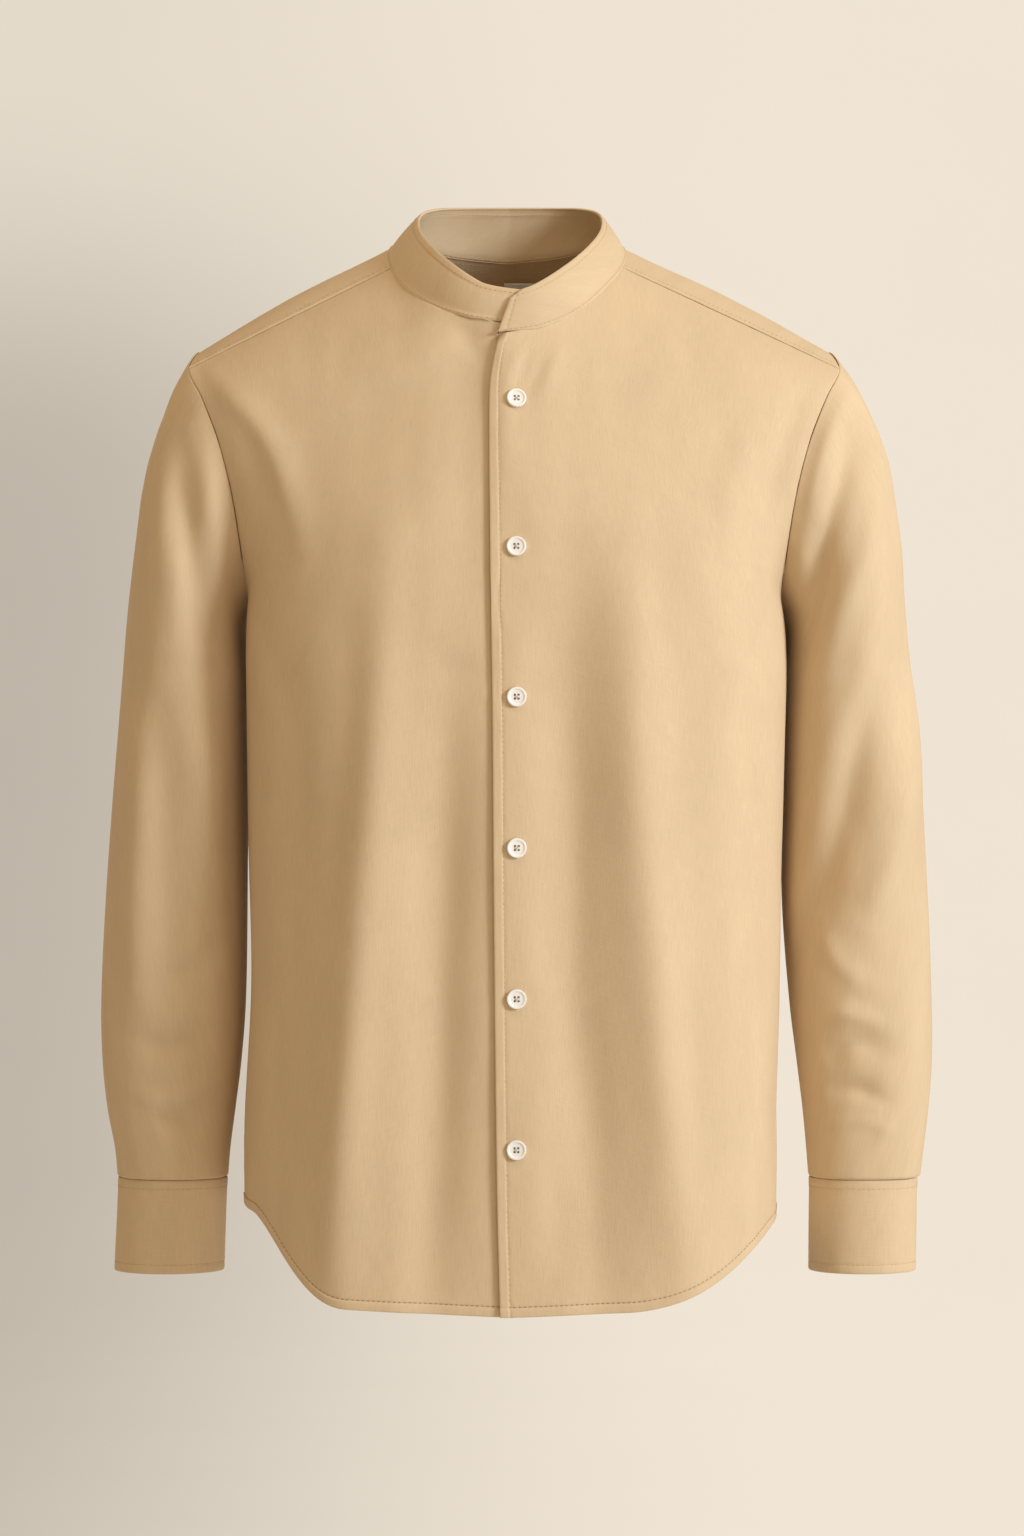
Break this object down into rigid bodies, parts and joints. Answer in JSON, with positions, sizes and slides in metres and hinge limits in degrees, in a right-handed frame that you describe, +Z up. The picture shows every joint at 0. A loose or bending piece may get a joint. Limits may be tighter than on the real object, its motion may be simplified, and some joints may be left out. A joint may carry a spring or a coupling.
{
  "type": "mandarin collar shirt",
  "caption": "Long-sleeved cotton shirt with a band collar, full button front, yoke, buttoned cuffs and a curved hem, held in its worn shape with nobody inside.",
  "frame": {"origin": "middle of the base of the neck, where the wearer's neck and shoulders hold the shirt up", "axes": "+Z up along the wearer's spine, -Y towards the front, +X towards the wearer's left"},
  "size_m": [0.5814, 0.263, 0.7881],
  "materials": {
    "cotton": "matt woven cotton, sand beige",
    "buttons": "white, softly polished",
    "label": "plain white tape, no lettering"
  },
  "bodies": {
    "root": {"front_left": "cotton", "front_right": "cotton", "back": "cotton", "yoke": "cotton", "sleeve_left": "cotton", "sleeve_right": "cotton", "cuff_left": "cotton", "cuff_right": "cotton", "collar": "cotton", "button_1": "buttons", "button_2": "buttons", "button_3": "buttons", "button_4": "buttons", "button_5": "buttons", "button_6": "buttons", "cuff_button_left": "buttons", "cuff_button_right": "buttons", "label": "label"}
  },
  "joints": []
}
